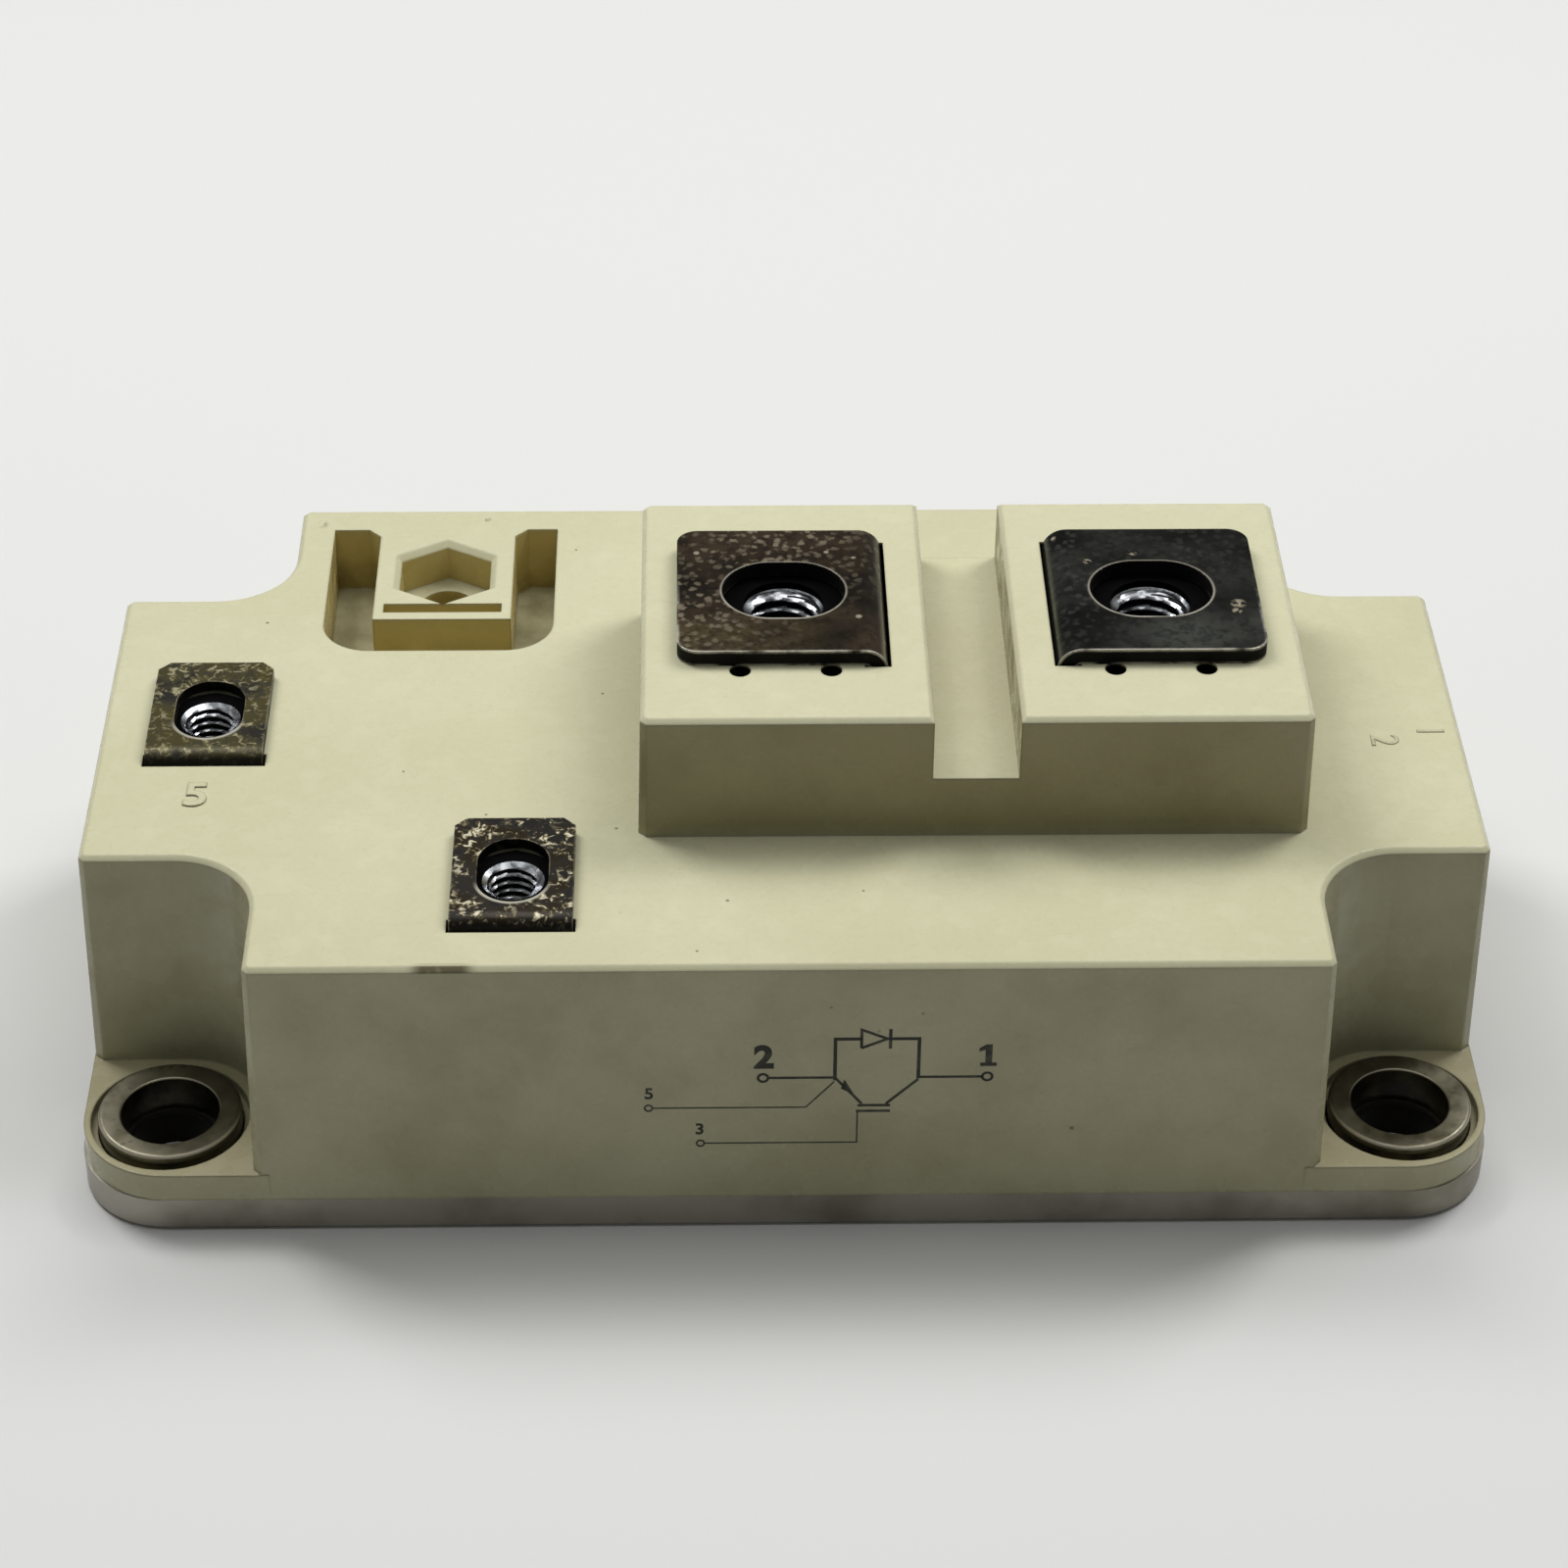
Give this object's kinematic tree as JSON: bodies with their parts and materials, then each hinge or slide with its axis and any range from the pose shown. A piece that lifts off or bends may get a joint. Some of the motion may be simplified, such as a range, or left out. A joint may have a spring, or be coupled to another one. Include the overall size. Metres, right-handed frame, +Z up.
{
  "type": "insulated-gate transistor module",
  "caption": "Low box-shaped power transistor module: moulded housing on a metal base plate, two raised screw terminals, two small screw terminals and screw holes at its corners.",
  "frame": {"origin": "centre of the base plate's lower face", "axes": "+X along the case towards the collector terminal's end, +Y from the front to the back, +Z up through the screw terminals"},
  "size_m": [0.1064, 0.0614, 0.0365],
  "materials": {
    "housing_plastic": "satin moulded, glass-filled",
    "nickel_plate": "nickel-plated copper, satin",
    "ring_steel": "turned, dull",
    "nut_steel": "zinc-plated",
    "main_terminal_metal": "tarnished nickel-plated copper sheet",
    "small_terminal_metal": "blotchy tarnished sheet",
    "substrate_ceramic": "matt white",
    "substrate_copper": "bare copper",
    "silicon": "polished",
    "bond_wire": "drawn",
    "lead_wire": "insulated",
    "gel": "clear soft silicone"
  },
  "bodies": {
    "root": {"back_copper_left": "substrate_copper", "back_copper_right": "substrate_copper", "base_plate": "nickel_plate", "ceramic_left": "substrate_ceramic", "ceramic_right": "substrate_ceramic", "collector_track_left": "substrate_copper", "collector_track_right": "substrate_copper", "diode_chip_left_1": "silicon", "diode_chip_left_2": "silicon", "diode_chip_right_1": "silicon", "diode_chip_right_2": "silicon", "emitter_track_left": "substrate_copper", "emitter_track_right": "substrate_copper", "gate_bonds_left": "bond_wire", "gate_bonds_right": "bond_wire", "gate_lead_left": "lead_wire", "gate_lead_right": "lead_wire", "gate_track_left": "substrate_copper", "gate_track_right": "substrate_copper", "housing": "housing_plastic", "main_nut_left": "nut_steel", "main_nut_right": "nut_steel", "mounting_ring_back_left": "ring_steel", "mounting_ring_back_right": "ring_steel", "mounting_ring_front_left": "ring_steel", "mounting_ring_front_right": "ring_steel", "power_bonds_left": "bond_wire", "power_bonds_right": "bond_wire", "sense_lead_left": "lead_wire", "sense_lead_right": "lead_wire", "sense_track_left": "substrate_copper", "sense_track_right": "substrate_copper", "silicone_gel": "gel", "small_nut_front": "nut_steel", "small_nut_left": "nut_steel", "terminal_collector": "main_terminal_metal", "terminal_emitter": "main_terminal_metal", "terminal_gate": "small_terminal_metal", "terminal_sense": "small_terminal_metal", "transistor_chip_left_1": "silicon", "transistor_chip_left_2": "silicon", "transistor_chip_right_1": "silicon", "transistor_chip_right_2": "silicon"}
  },
  "joints": []
}
